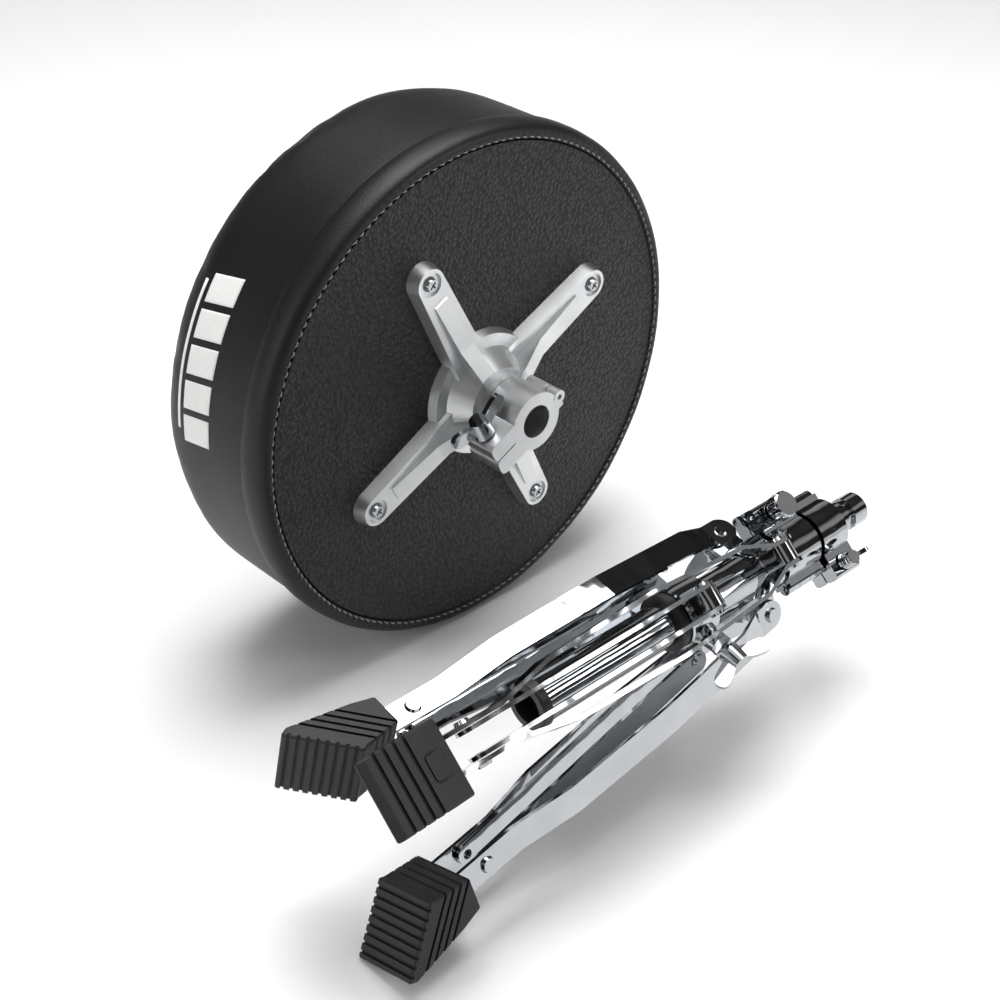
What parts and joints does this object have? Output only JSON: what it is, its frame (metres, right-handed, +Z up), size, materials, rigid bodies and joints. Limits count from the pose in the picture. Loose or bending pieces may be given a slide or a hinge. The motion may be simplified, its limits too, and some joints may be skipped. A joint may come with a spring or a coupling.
{
  "type": "drum throne",
  "caption": "Round padded drum throne taken apart: seat with clamp bracket stands on its rim beside a folded double-braced chrome tripod with rubber feet.",
  "frame": {"origin": "on the floor, under the middle of the bounding box", "axes": "+X along the tripod's tube towards the post's end, -Y the way the seat's underside faces, +Z up"},
  "size_m": [0.451, 0.3576, 0.355],
  "materials": {
    "seat_vinyl": "smooth fine-grained black vinyl",
    "grained_vinyl": "pebble-grained black vinyl",
    "plywood": "bare plywood",
    "cast_aluminium": "satin die casting",
    "chrome": "polished",
    "zinc_steel": "zinc plated",
    "black_nylon": "moulded",
    "black_rubber": "textured, ribbed"
  },
  "bodies": {
    "tripod_top": {"base_tube": "chrome", "tube_plug": "black_nylon", "post_sleeve": "black_nylon", "upper_collar": "chrome", "height_clamp_body": "chrome", "height_clamp_pin": "chrome", "leg_pivot_1": "chrome", "leg_pivot_2": "chrome", "leg_pivot_3": "chrome", "memory_lock_body": "chrome", "memory_lock_pin": "chrome", "memory_lock_band": "chrome"},
    "collar": {"slide_collar": "chrome", "collar_bushing": "black_nylon", "brace_pivot_1": "chrome", "brace_pivot_2": "chrome", "brace_pivot_3": "chrome", "collar_jam_nut": "chrome"},
    "collar_bolt": {"collar_wing_bolt": "chrome"},
    "clamp_jaw": {"height_clamp_jaw": "chrome"},
    "clamp_knob": {"height_clamp_knob": "chrome"},
    "post": {"post_tube": "chrome", "post_foot": "black_nylon", "post_cap": "chrome"},
    "lock_jaw": {"memory_lock_jaw": "chrome"},
    "lock_key": {"memory_lock_key": "chrome"},
    "seat": {"seat_cushion": "seat_vinyl", "seat_board": "plywood", "underside_panel": "grained_vinyl", "board_nuts": "zinc_steel", "bracket_screws": "chrome", "seat_bracket": "cast_aluminium", "socket_hinge_pin": "chrome"},
    "socket_jaw": {"socket_jaw": "cast_aluminium"},
    "seat_bolt": {"seat_wing_bolt": "chrome"},
    "leg_1": {"leg_straps_1": "chrome", "foot_rivets_1": "chrome", "rubber_foot_1": "black_rubber"},
    "brace_1": {"brace_straps_1": "chrome"},
    "leg_2": {"leg_straps_2": "chrome", "foot_rivets_2": "chrome", "rubber_foot_2": "black_rubber"},
    "brace_2": {"brace_straps_2": "chrome"},
    "leg_3": {"leg_straps_3": "chrome", "foot_rivets_3": "chrome", "rubber_foot_3": "black_rubber"},
    "brace_3": {"brace_straps_3": "chrome"}
  },
  "joints": [
    {"name": "collar_slide", "type": "slide", "parent": "tripod_top", "child": "collar", "axis": [-1, 0, 0], "range_m": [0, 0.0345]},
    {"name": "leg_hinge_1", "type": "hinge", "parent": "tripod_top", "child": "leg_1", "pos_m": [0.11414, -0.09355, 0.10781], "axis": [0, 0.225, -0.9744], "range_deg": [0, 31.27]},
    {"name": "brace_hinge_1", "type": "hinge", "parent": "collar", "child": "brace_1", "pos_m": [0.04414, -0.09355, 0.10781], "axis": [0, 0.225, -0.9744], "range_deg": [0, 49.06]},
    {"name": "leg_hinge_2", "type": "hinge", "parent": "tripod_top", "child": "leg_2", "pos_m": [0.11414, -0.14489, 0.12351], "axis": [0, 0.7314, 0.682], "range_deg": [0, 31.27]},
    {"name": "brace_hinge_2", "type": "hinge", "parent": "collar", "child": "brace_2", "pos_m": [0.04414, -0.14489, 0.12351], "axis": [0, 0.7314, 0.682], "range_deg": [0, 49.06]},
    {"name": "leg_hinge_3", "type": "hinge", "parent": "tripod_top", "child": "leg_3", "pos_m": [0.11414, -0.13281, 0.07119], "axis": [0, -0.9563, 0.2924], "range_deg": [0, 25.32]},
    {"name": "brace_hinge_3", "type": "hinge", "parent": "collar", "child": "brace_3", "pos_m": [0.04414, -0.13281, 0.07119], "axis": [0, -0.9563, 0.2924], "range_deg": [0, 40.92]},
    {"name": "post_slide", "type": "slide", "parent": "tripod_top", "child": "post", "axis": [1, 0, 0], "range_m": [0, 0.12]},
    {"name": "height_clamp_jaw_hinge", "type": "hinge", "parent": "tripod_top", "child": "clamp_jaw", "pos_m": [0.14314, -0.13918, 0.08645], "axis": [1, 0, 0], "range_deg": [0, 1]},
    {"name": "height_clamp_knob_turn", "type": "hinge", "parent": "tripod_top", "child": "clamp_knob", "pos_m": [0.14314, -0.11328, 0.12701], "axis": [0, -0.682, 0.7314], "continuous": true},
    {"name": "memory_lock_jaw_hinge", "type": "hinge", "parent": "tripod_top", "child": "lock_jaw", "pos_m": [0.17414, -0.10795, 0.11557], "axis": [-1, 0, 0], "range_deg": [0, 1]},
    {"name": "memory_lock_key_turn", "type": "hinge", "parent": "tripod_top", "child": "lock_key", "pos_m": [0.17414, -0.15058, 0.09223], "axis": [0, -0.682, 0.7314], "continuous": true},
    {"name": "collar_bolt_turn", "type": "hinge", "parent": "collar", "child": "collar_bolt", "pos_m": [0.04614, -0.16078, 0.09229], "axis": [0, -0.9744, -0.225], "continuous": true},
    {"name": "seat_carry", "type": "hinge", "parent": "tripod_top", "child": "seat", "pos_m": [0.16243, -0.12086, 0.22447], "axis": [-0.4929, -0.4929, -0.717], "range_deg": [0, 108.72]},
    {"name": "socket_jaw_hinge", "type": "hinge", "parent": "seat", "child": "socket_jaw", "pos_m": [0.06814, 0.02185, 0.18761], "axis": [0, 1, 0], "range_deg": [0, 1]},
    {"name": "seat_bolt_turn", "type": "hinge", "parent": "seat", "child": "seat_bolt", "pos_m": [0.01495, 0.02125, 0.17653], "axis": [-0.4493, 0, 0.8934], "continuous": true}
  ],
  "couplings": [
    {"joint": "leg_hinge_1", "follows": "collar_slide", "rad_per_m": 15.794},
    {"joint": "brace_hinge_1", "follows": "collar_slide", "rad_per_m": 24.795},
    {"joint": "leg_hinge_2", "follows": "collar_slide", "rad_per_m": 15.794},
    {"joint": "brace_hinge_2", "follows": "collar_slide", "rad_per_m": 24.795},
    {"joint": "leg_hinge_3", "follows": "collar_slide", "rad_per_m": 12.786},
    {"joint": "brace_hinge_3", "follows": "collar_slide", "rad_per_m": 20.678}
  ]
}
